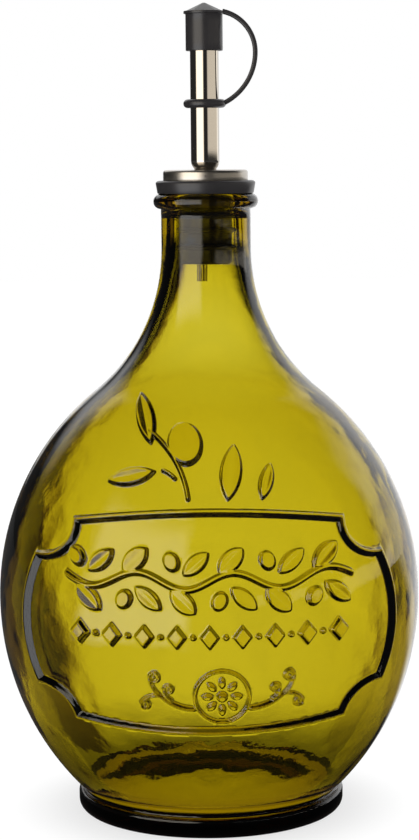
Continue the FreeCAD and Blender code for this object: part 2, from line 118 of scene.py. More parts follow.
class PourerSizes(bpy.types.PropertyGroup):
    """Sizes of the stopper, collar, spout and breather."""

    plug_diameter: length("Plug diameter", "Stopper between its ribs", 16.4)
    plug_length: length("Plug length", "Stopper below the flange", 21.9)
    rib_reach: length("Rib reach", "Radius of the sealing ribs", 9.42)
    rib_pitch: length("Rib pitch", "From rib to rib", 5.15)
    rib_base: length("Rib base", "Thickness of a rib where it leaves the plug", 1.6)
    rib_edge: length("Rib edge", "Thickness of a rib at its rim", 0.8)
    first_rib: length("First rib", "Depth of the first rib under the flange", 6.2)
    flange_diameter: length("Flange diameter", "Across the flange on the lip", 31.4)
    flange_taper: length("Flange taper", "How far the flange draws in below", 0.6)
    flange_height: length("Flange height", "Height of the flange", 4.0)
    collar_diameter: length("Collar diameter", "Across the steel collar", 26.6)
    collar_height: length("Collar height", "Height of the steel collar", 3.3)
    collar_sheet: length("Collar sheet", "Steel sheet of the collar", 0.6)
    collar_rounding: length("Collar rounding", "Rounded top edge of the collar", 0.9)
    tube_diameter: length("Tube diameter", "Outside of the spout", 9.0)
    tube_neck: length("Tube neck", "Spout where it passes the stopper", 7.0)
    tube_wall: length("Tube wall", "Wall of the spout", 0.5)
    swage_lift: length("Swage lift", "Narrow tube above the collar", 0.4)
    swage_height: length("Swage height", "Rounded step from narrow to wide", 2.6)
    spout_length: length("Spout length", "Spout above the collar", 47.6)
    breather_diameter: length("Breather diameter", "Outside of the air tube", 3.3)
    breather_wall: length("Breather wall", "Wall of the air tube", 0.4)
    breather_drop: length("Breather drop", "Air tube below the stopper", 5.4)
    breather_length: length("Breather length", "Whole length of the air tube", 52.0)
    breather_offset: length("Breather offset", "Air tube's distance from the spout's axis", 1.3)


class RubberSizes(bpy.types.PropertyGroup):
    """Sizes of the cap, its strap and the ring."""

    cap_diameter: length("Cap diameter", "Across the cap's skirt", 11.6)
    cap_bore: length("Cap bore", "Inside of the cap", 9.16)
    cap_skirt: length("Cap skirt", "Depth of the cap over the spout", 11.0)
    cap_roof: length("Cap roof", "Thickness of the cap's roof", 1.3)
    cap_gap: length("Cap gap", "Room between spout and roof", 0.3)
    brim_diameter: length("Brim diameter", "Across the brim on top of the cap", 12.8)
    brim_thickness: length("Brim thickness", "Thickness of the brim", 0.9)
    point_diameter: length("Point diameter", "Across the faceted point", 11.6)
    point_height: length("Point height", "Height of the faceted point", 2.5)
    point_flat: length("Point flat", "Across the blunt tip", 0.9)
    ring_diameter: length("Ring diameter", "Outside of the ring on the spout", 13.4)
    ring_bore: length("Ring bore", "Inside of the ring", 9.16)
    ring_height: length("Ring height", "Height of the ring", 2.7)
    ring_below_tip: length("Ring below tip", "Ring's middle below the spout's tip", 27.0)
    strap_reach: length("Strap reach", "How far the strap bows out", 15.9)
    strap_below_tip: length("Strap below tip", "Strap's middle below the spout's tip", 11.1)
    strap_width: length("Strap width", "Width of the strap", 3.0)
    strap_thickness: length("Strap thickness", "Thickness of the strap", 1.5)
    strap_gap: length("Strap gap", "Room between the strap's ends and cap or ring", 0.35)
    strap_seat: length("Strap seat", "How far the strap runs into the cap and the ring", 0.7)


class StudioLooks(bpy.types.PropertyGroup):
    """Colours of the pieces and the studio."""

    glass: colour("Glass", "Light that a depth of the olive glass lets through", "#f2ec00")
    rubber: colour("Rubber", "Moulded charcoal rubber", "#2c2a2b")
    steel: colour("Steel", "Polished stainless steel", "#c9c3ba")
    key_light: colour("Key light", "Cream softbox at the left", "#fff6e6")
    fill_light: colour("Fill light", "Dim panel at the right", "#dcd4c6")
    key_strength: bpy.props.FloatProperty(
        name="Key strength", description="Brightness of the softbox in reflections",
        default=2.3, min=0.0)
    fill_strength: bpy.props.FloatProperty(
        name="Fill strength", description="Brightness of the right panel in reflections",
        default=1.3, min=0.0)


# Shared modelling steps

def deselect():
    if bpy.context.mode != "OBJECT":
        bpy.ops.object.mode_set(mode="OBJECT")
    bpy.ops.object.select_all(action="DESELECT")


def begin(name, x, z, wide, deep):
    """Start a piece as a flat rectangle, selected in edit mode."""
    deselect()
    bpy.ops.mesh.primitive_plane_add(size=1, location=(x, 0, z))
    piece = bpy.context.object
    piece.name = name
    piece.data.name = name
    piece.scale = (wide, deep, 1)
    bpy.ops.object.transform_apply(location=True, rotation=True, scale=True)
    bpy.ops.object.mode_set(mode="EDIT")
    bpy.ops.mesh.select_mode(type="VERT")
    bpy.ops.mesh.select_all(action="SELECT")
    return piece


def draw(name, corners):
    """Draw a profile in X and Z, from one vertex.

    A corner is (x, z, cuts) at the end of a line, or (x, z, cuts, centre) at the end of an arc.
    """
    here = Vector(corners[0][:2])
    piece = begin(name, *here, MM, MM)
    bpy.ops.mesh.merge(type="CENTER")
    for corner in corners[1:]:
        there = Vector(corner[:2])
        cuts = corner[2]
        if len(corner) == 3:
            step = (there - here) / cuts
            for _ in range(cuts):
                bpy.ops.mesh.extrude_region_move(TRANSFORM_OT_translate={"value": (step.x, 0, step.y)})
        else:
            centre = Vector(corner[3])
            first = math.atan2(here.y - centre.y, here.x - centre.x)
            last = math.atan2(there.y - centre.y, there.x - centre.x)
            turn = (last - first + math.pi) % math.tau - math.pi
            bpy.ops.mesh.spin(steps=cuts, angle=turn, center=(centre.x, 0, centre.y), axis=(0, 1, 0))
        here = there
    return piece


def revolve(piece, columns, centre=(0, 0, 0)):
    """Spin the profile in edit mode round the upright axis and close the seam and poles."""
    bpy.ops.mesh.select_all(action="SELECT")
    bpy.ops.mesh.spin(steps=columns, angle=math.tau, center=centre, axis=(0, 0, 1))
    tidy_mesh(piece)


def tidy_mesh(piece):
    """Merge doubles, turn the faces outwards and leave edit mode."""
    bpy.ops.mesh.select_all(action="SELECT")
    bpy.ops.mesh.remove_doubles(threshold=MERGE_DISTANCE)
    bpy.ops.mesh.select_all(action="SELECT")
    bpy.ops.mesh.normals_make_consistent(inside=False)
    bpy.ops.object.mode_set(mode="OBJECT")
    uses = Counter(key for face in piece.data.polygons for key in face.edge_keys)
    if len(uses) < len(piece.data.edges) or set(uses.values()) != {2}:
        raise RuntimeError(piece.name + " isn't closed")


def triples(items, field):
    """A row of three numbers for every vertex or face of a mesh."""
    rows = np.zeros(len(items) * 3)
    items.foreach_get(field, rows)
    return rows.reshape(-1, 3)


def soften(piece, width, angle, segments=2):
    """Round the sharp edges as a mould does, and shade smoothly."""
    bevel = piece.modifiers.new("rounded_edges", "BEVEL")
    bevel.width = width
    bevel.segments = segments
    bevel.limit_method = "ANGLE"
    bevel.angle_limit = math.radians(angle)
    bpy.ops.object.modifier_apply(modifier=bevel.name)
    bpy.ops.object.shade_smooth_by_angle(angle=math.radians(angle))


def turned(name, corners, columns, width, angle, centre=(0, 0, 0)):
    """A round piece: drawn, revolved and softened."""
    piece = draw(name, corners)
    revolve(piece, columns, centre)
    soften(piece, width, angle)
    return piece


def dress(piece, body, material, slot, *nodes):
    """Give a piece its material, its body and the nodes that it stands for."""
    piece.data.materials.clear()
    piece.data.materials.append(material)
    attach(piece, body)
    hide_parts(*nodes)


# Relief on the front of the glass, in millimetres across and up

def round_up(inside, edge):
    """Height from 0 to 1 over a steep edge that rounds off at its top, by the distance inside a shape."""
    roundness = 1.5
    share = np.clip(inside / edge, 0, 1)
    return 1 - (1 - share) ** roundness


def step_up(inside, edge):
    """Height from 0 to 1 over a steep flank, rounded at its foot and its top."""
    share = np.clip(inside / edge, 0, 1)
    return share * share * (3 - 2 * share)


def arc_distance(x, z, centre, radius, middle, spread):
    """Distance to an arc about a centre, with the arc's middle direction and half its angle."""
    away_x, away_z = x - centre[0], z - centre[1]
    turn = np.arctan2(away_z, away_x) - middle
    turn = (turn + math.pi) % math.tau - math.pi
    held = middle + np.clip(turn, -spread, spread)
    return np.hypot(away_x - radius * np.cos(held), away_z - radius * np.sin(held))


def arc_from(start, end, radius, side):
    """Centre, radius, middle direction and half angle of an arc; side 1 bulges to the left on the way."""
    half = (Vector(end) - Vector(start)) / 2
    middle = (Vector(end) + Vector(start)) / 2
    across = Vector((-half.y, half.x)).normalized() * side
    reach = math.sqrt(radius ** 2 - half.length_squared)
    centre = middle - across * reach
    spread = math.asin(half.length / radius)
    return centre, radius, math.atan2(across.y, across.x), spread


def leaf(x, z, base, tip, half_width):
    """A pointed leaf between two arcs, hollowed along its middle vein."""
    edge, vein_depth, vein_share = 0.9, 0.35, 0.55
    base, tip = np.array(base, float), np.array(tip, float)
    along = tip - base
    size = np.hypot(*along)
    along /= size
    u = (x - base[0]) * along[0] + (z - base[1]) * along[1] - size / 2
    v = np.abs(-(x - base[0]) * along[1] + (z - base[1]) * along[0])
    bend = ((size / 2) ** 2 + half_width ** 2) / (2 * half_width)
    inside = bend - np.hypot(u, v + bend - half_width)
    hollow = vein_depth * np.clip(1 - v / (vein_share * half_width), 0, 1)
    return step_up(inside, edge) * (1 - hollow)


def fruit(x, z, centre, across, up, lean=0.0):
    """An oval fruit, domed."""
    turn = math.radians(lean)
    u = (x - centre[0]) * math.cos(turn) + (z - centre[1]) * math.sin(turn)
    v = -(x - centre[0]) * math.sin(turn) + (z - centre[1]) * math.cos(turn)
    least = min(across, up)
    widest_edge, edge_share = 1.0, 0.6
    inside = (1 - np.hypot(u / across, v / up)) * least
    return step_up(inside, min(widest_edge, edge_share * least))


def stem(x, z, start, end, radius, side, width):
    """A round stem along an arc."""
    centre, radius, middle, spread = arc_from(start, end, radius, side)
    return step_up(width / 2 - arc_distance(x, z, centre, radius, middle, spread), width / 2)


def band(x, z, centre, radius, width):
    """A round ring."""
    off = np.abs(np.hypot(x - centre[0], z - centre[1]) - radius)
    return step_up(width / 2 - off, width / 2)


def border(x, z):
    """The cartouche border: bowed edges joined by concave corners."""
    x = np.abs(x)
    top, bottom = (0, 105.2), (0, 37.6)
    upper_corner, upper_side = (40.5, 101.2), (52.0, 90.0)
    lower_side, lower_corner = (52.0, 49.0), (40.5, 40.2)
    side_reach, notch, width = 56.8, 10.6, 2.5

    def bow(half, rise):
        return (half ** 2 + rise ** 2) / (2 * rise)

    top_bow = bow(upper_corner[0], top[1] - upper_corner[1])
    bottom_bow = bow(lower_corner[0], lower_corner[1] - bottom[1])
    side_bow = bow((upper_side[1] - lower_side[1]) / 2, side_reach - upper_side[0])
    mirror_top = (-upper_corner[0], upper_corner[1])
    mirror_bottom = (-lower_corner[0], lower_corner[1])
    arcs = [
        arc_from(mirror_top, upper_corner, top_bow, 1),
        arc_from(mirror_bottom, lower_corner, bottom_bow, -1),
        arc_from(lower_side, upper_side, side_bow, -1),
        arc_from(upper_corner, upper_side, notch, -1),
        arc_from(lower_side, lower_corner, notch, -1),
    ]
    off = np.min([arc_distance(x, z, *arc) for arc in arcs], axis=0)
    inside = np.ones_like(x, bool)
    for centre, radius, _, _ in arcs[:3]:
        inside &= np.hypot(x - centre[0], z - centre[1]) < radius
    for centre, radius, _, _ in arcs[3:]:
        inside &= np.hypot(x - centre[0], z - centre[1]) > radius
    off = np.where(inside, off, -off)
    return round_up(width / 2 - np.abs(off - width / 2), width / 2)


def sprig(x, z):
    """A sprig of leaves and fruit over the panel."""
    leaves = (
        ((5.6, 106.5), (7.8, 123.0), 3.4),
        ((15.6, 106.5), (18.6, 117.5), 2.3),
        ((-15.0, 115.2), (-30.5, 111.6), 2.7),
        ((-16.8, 122.0), (-20.4, 136.5), 3.0),
    )
    stems = (
        ((-17.4, 126.0), (-6.0, 107.6), 26.0, 1, 1.6),
        ((-13.4, 115.4), (-9.8, 113.2), 9.0, 1, 1.3),
    )
    forms = [fruit(x, z, (-6.8, 122.6), across=5.4, up=6.2, lean=12)]
    forms += [leaf(x, z, *shape) for shape in leaves]
    forms += [stem(x, z, *shape) for shape in stems]
    return np.max(forms, axis=0)


def garland(x, z):
    """A running vine of leaves and fruit across the middle of the panel."""
    level, swing, pitch, count = 84.5, 2.4, 14.0, 6
    half_stem, stem_edge, leaf_back = 1.2, 1.0, 4.5
    wave = level + swing * np.sin(math.pi * x / pitch)
    slope = swing * math.pi / pitch * np.cos(math.pi * x / pitch)
    ends = count / 2 * pitch
    off = np.hypot(np.abs(z - wave) / np.hypot(1, slope), np.clip(np.abs(x) - ends, 0, None))
    forms = [step_up(half_stem - off, stem_edge)]
    for index in range(count):
        middle = (index - (count - 1) / 2) * pitch
        side = 1 if index % 2 else -1
        foot = level + swing * math.sin(math.pi * (middle - leaf_back) / pitch)
        forms += [
            leaf(x, z, (middle - leaf_back, foot + side), (middle + 3.2, level + side * 9.6), 3.1),
            leaf(x, z, (middle - 1.0, level - side * 1.5), (middle + 7.2, level - side * 8.6), 2.7),
            fruit(x, z, (middle - 4.0, level - side * 5.6), across=2.6, up=3.3, lean=-side * 25),
        ]
    return np.max(forms, axis=0)


def lozenges(x, z):
    """A row of lozenges and beads below the vine."""
    level, pitch, count = 68.2, 9.6, 9
    half_across, half_up, slant, edge, bead = 3.3, 4.2, 2.4, 1.0, 1.0
    forms = []
    for index in range(count):
        middle = (index - (count - 1) / 2) * pitch
        inside = (1 - np.abs(x - middle) / half_across - np.abs(z - level) / half_up) * slant
        forms.append(step_up(inside, edge))
        if index < count - 1:
            forms.append(fruit(x, z, (middle + pitch / 2, level), bead, bead))
    return np.max(forms, axis=0)


def curl(x, z, centre, radius):
    """The rolled end of a scroll: a ring about a bead."""
    width, bead = 0.9, 0.5
    return np.maximum(band(x, z, centre, radius, width), fruit(x, z, centre, bead, bead))


def rosette(x, z):
    """A ringed rosette with a scroll at either side, the scrolls drawn from its middle."""
    centre, ring, ring_width, heart = (3.5, 50.1), 8.0, 1.3, 1.8
    petals, petal_start, petal_end, petal_half = 8, 2.2, 6.4, 1.2
    stems = (
        ((8.4, -3.8), (17.2, -0.4), 14.0, -1, 2.0),
        ((16.4, -0.9), (21.2, 5.4), 8.0, -1, 1.5),
        ((16.6, -0.6), (23.8, -2.4), 5.2, 1, 1.2),
        ((14.8, -1.0), (17.0, 1.8), 4.0, -1, 1.1),
    )
    curls = (((19.9, 5.9), 1.4), ((22.6, -2.8), 1.2), ((15.8, 2.3), 1.2))
    x, z = np.abs(x - centre[0]), z - centre[1]
    forms = [band(x, z, (0, 0), ring, ring_width), fruit(x, z, (0, 0), heart, heart)]
    for index in range(petals):
        turn = math.tau * index / petals
        way = np.array((math.cos(turn), math.sin(turn)))
        forms.append(leaf(x, z, petal_start * way, petal_end * way, petal_half))
    forms += [stem(x, z, *shape) for shape in stems]
    forms += [curl(x, z, *shape) for shape in curls]
    return np.max(forms, axis=0)


def ornament(x, z):
    return np.max([sprig(x, z), garland(x, z), lozenges(x, z), rosette(x, z)], axis=0)


class OILBOTTLE_OT_glass(bpy.types.Operator):
    """Model the moulded glass body with its raised panel"""

    bl_idname = "oilbottle.glass"
    bl_label = "Glass bottle"

    COLUMNS = 144

    # Field of the relief on the front, and how near to the outer wall a vertex counts as part of it
    RELIEF_TURN = math.radians(60)
    RELIEF_LOW = 34 * MM
    RELIEF_HIGH = 142 * MM
    RELIEF_MARGIN = 10 * MM
    SEAT_DEPTH = 0.5 * MM
    SKIN_DEPTH = 1.6 * MM
    LEAST_WEIGHT = 0.001

    def profile(self, size):
        """The wall in section, from the punt up the outside and down the inside."""
        body = size.body_diameter / 2
        neck = size.neck_diameter / 2
        bore = size.neck_bore / 2
        belly = (body - size.belly_radius, size.widest_height)
        shoulder = (body - size.shoulder_radius, size.widest_height)
        top = size.bottle_height

        def flare(wall, level, shoulder_radius):
            """Radius, centre and lower end of the arc from an upright wall into the shoulder."""
            out = wall - shoulder[0]
            up = level - shoulder[1]
            radius = (out ** 2 + up ** 2 - shoulder_radius ** 2) / (2 * (shoulder_radius - out))
            share = shoulder_radius / (shoulder_radius + radius)
            join = (shoulder[0] + (out + radius) * share, shoulder[1] + up * share)
            return radius, (wall + radius, level), join

        def on_belly(radius, level):
            return belly[0] + math.sqrt(radius ** 2 - (belly[1] - level) ** 2)

        flare_radius, flare_centre, join = flare(neck, top - size.neck_length, size.shoulder_radius)
        _, inner_centre, inner_join = flare(bore, top - size.bore_depth, size.shoulder_radius - size.wall)
        inner_belly = size.belly_radius - size.wall
        self.outer = (belly, size.belly_radius, shoulder, size.shoulder_radius,
                      flare_centre, flare_radius, join[1])
        foot = size.foot_diameter / 2
        standing = foot - size.foot_rounding
        punt = standing - size.standing_width
        punt_bend = (punt ** 2 + size.punt_height ** 2) / (2 * size.punt_height)
        crown = foot - size.foot_top_rounding
        lift = size.foot_height - size.foot_top_rounding
        span = inner_belly - size.floor_corner
        corner_z = size.floor_height + size.floor_corner
        corner = (on_belly(span, corner_z), corner_z)
        corner_end = [belly[i] + (corner[i] - belly[i]) * inner_belly / span for i in (0, 1)]
        bead = size.lip_bead
        bead_centre = (neck, top - bead)
        mouth = size.mouth_rounding
        return [
            (0, size.punt_height),
            (punt, 0, 8, (0, size.punt_height - punt_bend)),
            (standing, 0, 2),
            (foot, size.foot_rounding, 6, (standing, size.foot_rounding)),
            (foot, lift, 1),
            (crown, size.foot_height, 4, (crown, lift)),
            (on_belly(size.belly_radius, size.foot_height), size.foot_height, 1),
            (body, size.widest_height, 25, belly),
            (*join, 26, shoulder),
            (neck, flare_centre[1], 22, flare_centre),
            (neck, top - 2 * bead, 4),
            (neck + bead, top - bead, 6, bead_centre),
            (neck, top, 6, bead_centre),
            (bore + mouth, top, 1),
            (bore, top - mouth, 4, (bore + mouth, top - mouth)),
            (bore, inner_centre[1], 4),
            (*inner_join, 20, inner_centre),
            (body - size.wall, size.widest_height, 18, shoulder),
            (*corner_end, 14, belly),
            (corner[0], size.floor_height, 8, corner),
            (0, size.floor_height, 8),
        ]

    def outer_radius(self, level):
        """The body's outside radius at a height."""
        belly, belly_radius, shoulder, shoulder_radius, flare, flare_radius, join = self.outer
        low = belly[0] + np.sqrt(np.clip(belly_radius ** 2 - (level - belly[1]) ** 2, 0, None))
        high = shoulder[0] + np.sqrt(np.clip(shoulder_radius ** 2 - (level - shoulder[1]) ** 2, 0, None))
        neck = flare[0] - np.sqrt(np.clip(flare_radius ** 2 - (level - flare[1]) ** 2, 0, None))
        return np.where(level < belly[1], low, np.where(level < join, high, neck))

    def select_front(self, piece, wanted):
        """Select the outer faces in the relief's field for which wanted(x, z) holds."""
        mesh = piece.data
        middle = triples(mesh.polygons, "center")
        normal = triples(mesh.polygons, "normal")
        outward = (normal[:, :2] * middle[:, :2]).sum(axis=1) > 0
        turn = np.abs(np.arctan2(middle[:, 0], -middle[:, 1]))
        chosen = outward & (turn < self.RELIEF_TURN)
        chosen &= (middle[:, 2] > self.RELIEF_LOW) & (middle[:, 2] < self.RELIEF_HIGH)
        chosen[chosen] = wanted(middle[chosen, 0] / MM, middle[chosen, 2] / MM)
        mesh.vertices.foreach_set("select", np.zeros(len(mesh.vertices), bool))
        mesh.edges.foreach_set("select", np.zeros(len(mesh.edges), bool))
        mesh.polygons.foreach_set("select", chosen)
        bpy.ops.object.mode_set(mode="EDIT")
        bpy.ops.mesh.select_mode(type="FACE")

    def subdivide(self, piece, cuts):
        """Cut the selected faces and seat the new vertices on the round body again."""
        bpy.ops.mesh.subdivide(number_cuts=cuts, quadcorner="INNERVERT")
        bpy.ops.object.mode_set(mode="OBJECT")
        mesh = piece.data
        place = triples(mesh.vertices, "co")
        radius = np.hypot(place[:, 0], place[:, 1])
        goal = self.outer_radius(place[:, 2])
        near = (np.abs(radius - goal) < self.SEAT_DEPTH) & (place[:, 1] < 0)
        near &= place[:, 2] > self.RELIEF_LOW - self.RELIEF_MARGIN
        near &= place[:, 2] < self.RELIEF_HIGH + self.RELIEF_MARGIN
        place[near, :2] *= (goal[near] / radius[near])[:, None]
        mesh.vertices.foreach_set("co", place.ravel())
        mesh.update()

    def emboss(self, piece, name, height, form):
        """Raise the front by a form, through a vertex group and a Displace modifier."""
        mesh = piece.data
        place = triples(mesh.vertices, "co")
        radius = np.hypot(place[:, 0], place[:, 1])
        skin = np.abs(radius - self.outer_radius(place[:, 2])) < self.SKIN_DEPTH
        skin &= (place[:, 1] < 0) & (place[:, 2] > self.RELIEF_LOW) & (place[:, 2] < self.RELIEF_HIGH)
        weight = np.zeros(len(place))
        weight[skin] = form(place[skin, 0] / MM, place[skin, 2] / MM)
        group = piece.vertex_groups.new(name=name)
        for index in np.nonzero(weight > self.LEAST_WEIGHT)[0]:
            group.add([int(index)], float(weight[index]), "REPLACE")
        raised = piece.modifiers.new(name, "DISPLACE")
        raised.vertex_group = name
        raised.mid_level = 0.0
        raised.strength = height
        bpy.ops.object.modifier_apply(modifier=raised.name)
        piece.vertex_groups.clear()

    def execute(self, context):
        size = context.scene.oil_glass
        piece = draw("bottle_glass", self.profile(size))
        revolve(piece, self.COLUMNS)

        def field(x, z):
            return np.ones_like(x, bool)

        def near_edge(x, z):
            probe, rise = 0.45, 0.12
            around = [np.maximum(border(x + dx, z + dz), ornament(x + dx, z + dz))
                      for dx in (-probe, 0, probe) for dz in (-probe, 0, probe)]
            return np.ptp(around, axis=0) > rise

        self.select_front(piece, field)
        self.subdivide(piece, cuts=3)
        self.select_front(piece, near_edge)
        self.subdivide(piece, cuts=1)
        self.emboss(piece, "border", size.border_relief, border)
        self.emboss(piece, "ornament", size.ornament_relief, ornament)
        bpy.ops.object.shade_smooth()
        dress(piece, "bottle", glass_material(context), "olive_glass", "glass_bottle")
        return {"FINISHED"}


class OILBOTTLE_OT_stopper(bpy.types.Operator):
    """Model the ribbed rubber stopper with its flange"""

    bl_idname = "oilbottle.stopper"
    bl_label = "Rubber stopper"

    RIBS = 3
    CHAMFER = 1.0 * MM
    RIM_DROP = 0.6 * MM
    RIM_INSET = 0.7 * MM

    def execute(self, context):
        size = context.scene.oil_pourer
        lip = context.scene.oil_glass.bottle_height
        hole = size.tube_neck / 2
        plug = size.plug_diameter / 2
        foot = lip - size.plug_length
        rim = size.flange_diameter / 2
        top = lip + size.flange_height
        boss = size.collar_diameter / 2 - size.collar_sheet
        boss_top = top + size.collar_height - size.collar_sheet
        ribs = []
        for index in reversed(range(self.RIBS)):
            level = lip - size.first_rib - index * size.rib_pitch
            ribs += [
                (plug, level - size.rib_base / 2, 1),
                (size.rib_reach, level - size.rib_edge / 2, 1),
                (size.rib_reach, level + size.rib_edge / 2, 1),
                (plug, level + size.rib_base / 2, 1),
            ]
        piece = turned("stopper_rubber", [
            (hole, foot),
            (plug - self.CHAMFER, foot, 2),
            (plug, foot + self.CHAMFER, 1),
            *ribs,
            (plug, lip, 2),
            (rim - size.flange_taper, lip, 2),
            (rim, top - self.RIM_DROP, 2),
            (rim - self.RIM_INSET, top, 1),
            (boss, top, 1),
            (boss, boss_top, 1),
            (hole, boss_top, 2),
            (hole, foot, 2),
        ], columns=96, width=0.25 * MM, angle=30)
        dress(piece, "pourer", rubber_material(context), "black_rubber", "rubber_stopper")
        return {"FINISHED"}


def spout_tip(scene):
    size = scene.oil_pourer
    return scene.oil_glass.bottle_height + size.flange_height + size.collar_height + size.spout_length


class OILBOTTLE_OT_steel(bpy.types.Operator):
    """Model the pressed collar, the swaged spout and the air tube inside it"""

    bl_idname = "oilbottle.steel"
    bl_label = "Steel pourer"

    def collar(self, size, lip):
        hole = size.tube_neck / 2
        rim = size.collar_diameter / 2
        sheet = size.collar_sheet
        foot = lip + size.flange_height
        top = foot + size.collar_height
        rounding = size.collar_rounding
        return turned("collar_steel", [
            (rim - sheet, foot),
            (rim, foot, 1),
            (rim, top - rounding, 2),
            (rim - rounding, top, 6, (rim - rounding, top - rounding)),
            (hole, top, 4),
            (hole, top - sheet, 1),
            (rim - sheet, top - sheet, 2),
            (rim - sheet, foot, 1),
        ], columns=120, width=0.08 * MM, angle=50)

    def spout(self, size, lip):
        foot = lip - size.plug_length
        outer = size.tube_diameter / 2
        narrow = size.tube_neck / 2
        wall = size.tube_wall
        swage = lip + size.flange_height + size.collar_height + size.swage_lift
        shoulder = swage + size.swage_height
        rise = outer - narrow
        bend = (size.swage_height ** 2 + rise ** 2) / (2 * rise)
        tip = spout_tip(bpy.context.scene)
        return turned("spout_steel", [
            (narrow - wall, foot),
            (narrow, foot, 1),
            (narrow, swage, 6),
            (outer, shoulder, 8, (outer - bend, shoulder)),
            (outer, tip, 12),
            (outer - wall, tip, 1),
            (outer - wall, shoulder, 12),
            (narrow - wall, swage, 8, (outer - wall - bend, shoulder)),
            (narrow - wall, foot, 6),
        ], columns=72, width=0.12 * MM, angle=50)

    def breather(self, size, lip):
        foot = lip - size.plug_length - size.breather_drop
        top = foot + size.breather_length
        radius = size.breather_diameter / 2
        bore = radius - size.breather_wall
        axis = -size.breather_offset
        return turned("breather_steel", [
            (axis + bore, foot),
            (axis + radius, foot, 1),
            (axis + radius, top, 10),
            (axis + bore, top, 1),
            (axis + bore, foot, 10),
        ], columns=40, width=0.08 * MM, angle=50, centre=(axis, 0, 0))

    def execute(self, context):
        size = context.scene.oil_pourer
        lip = context.scene.oil_glass.bottle_height
        bright = steel_material(context, "stainless_steel_polished", sharp=0.03, dull=0.1)
        satin = steel_material(context, "stainless_steel_satin", sharp=0.26, dull=0.36)
        for piece, steel, solid in (
            (self.collar(size, lip), satin, "steel_collar"),
            (self.spout(size, lip), bright, "spout_tube"),
            (self.breather(size, lip), bright, "breather_tube"),
        ):
            dress(piece, "pourer", steel, "polished_steel", solid)
        return {"FINISHED"}


class OILBOTTLE_OT_cap(bpy.types.Operator):
    """Model the cap with its brim and faceted point"""

    bl_idname = "oilbottle.cap"
    bl_label = "Rubber cap"

    FACETS = 10
    FACET_ANGLE = 25

    def execute(self, context):
        size = context.scene.oil_rubber
        bore = size.cap_bore / 2
        rim = size.cap_diameter / 2
        brim = size.brim_diameter / 2
        ceiling = spout_tip(context.scene) + size.cap_gap
        top = ceiling + size.cap_roof
        foot = ceiling - size.cap_skirt
        piece = turned("cap_rubber", [
            (0, ceiling),
            (bore, ceiling, 3),
            (bore, foot, 4),
            (rim, foot, 1),
            (rim, top - size.brim_thickness, 4),
            (brim, top - size.brim_thickness, 1),
            (brim, top, 1),
            (size.point_diameter / 2, top, 1),
            (0, top, 4),
        ], columns=80, width=0.25 * MM, angle=40)
        point = self.point(size, top)
        deselect()
        point.select_set(True)
        piece.select_set(True)
        context.view_layer.objects.active = piece
        union = piece.modifiers.new("point", "BOOLEAN")
        union.operation = "UNION"
        union.solver = "EXACT"
        union.object = point
        bpy.ops.object.modifier_apply(modifier=union.name)
        bpy.data.objects.remove(point)
        bpy.ops.object.shade_smooth_by_angle(angle=math.radians(self.FACET_ANGLE))
        dress(piece, "cap", rubber_material(context), "black_rubber", "spout_cap")
        return {"FINISHED"}

    def point(self, size, level):
        """The faceted point, sunk a little into the roof so that the two can be joined."""
        sink = 0.3 * MM
        deselect()
        bpy.ops.mesh.primitive_cone_add(
            vertices=self.FACETS, radius1=size.point_diameter / 2, radius2=size.point_flat / 2,
            depth=size.point_height, location=(0, 0, level + size.point_height / 2))
        point = bpy.context.object
        bpy.ops.object.transform_apply(location=True, rotation=True, scale=True)
        bpy.ops.object.mode_set(mode="EDIT")
        bpy.ops.mesh.select_all(action="DESELECT")
        bpy.ops.object.mode_set(mode="OBJECT")
        for face in point.data.polygons:
            face.select = face.normal.z < -0.9
        bpy.ops.object.mode_set(mode="EDIT")
        bpy.ops.mesh.select_mode(type="FACE")
        bpy.ops.mesh.extrude_region_move(TRANSFORM_OT_translate={"value": (0, 0, -sink)})
        bpy.ops.mesh.select_all(action="SELECT")
        bpy.ops.mesh.normals_make_consistent(inside=False)
        bpy.ops.object.mode_set(mode="OBJECT")
        soften(point, width=0.12 * MM, angle=15)
        return point


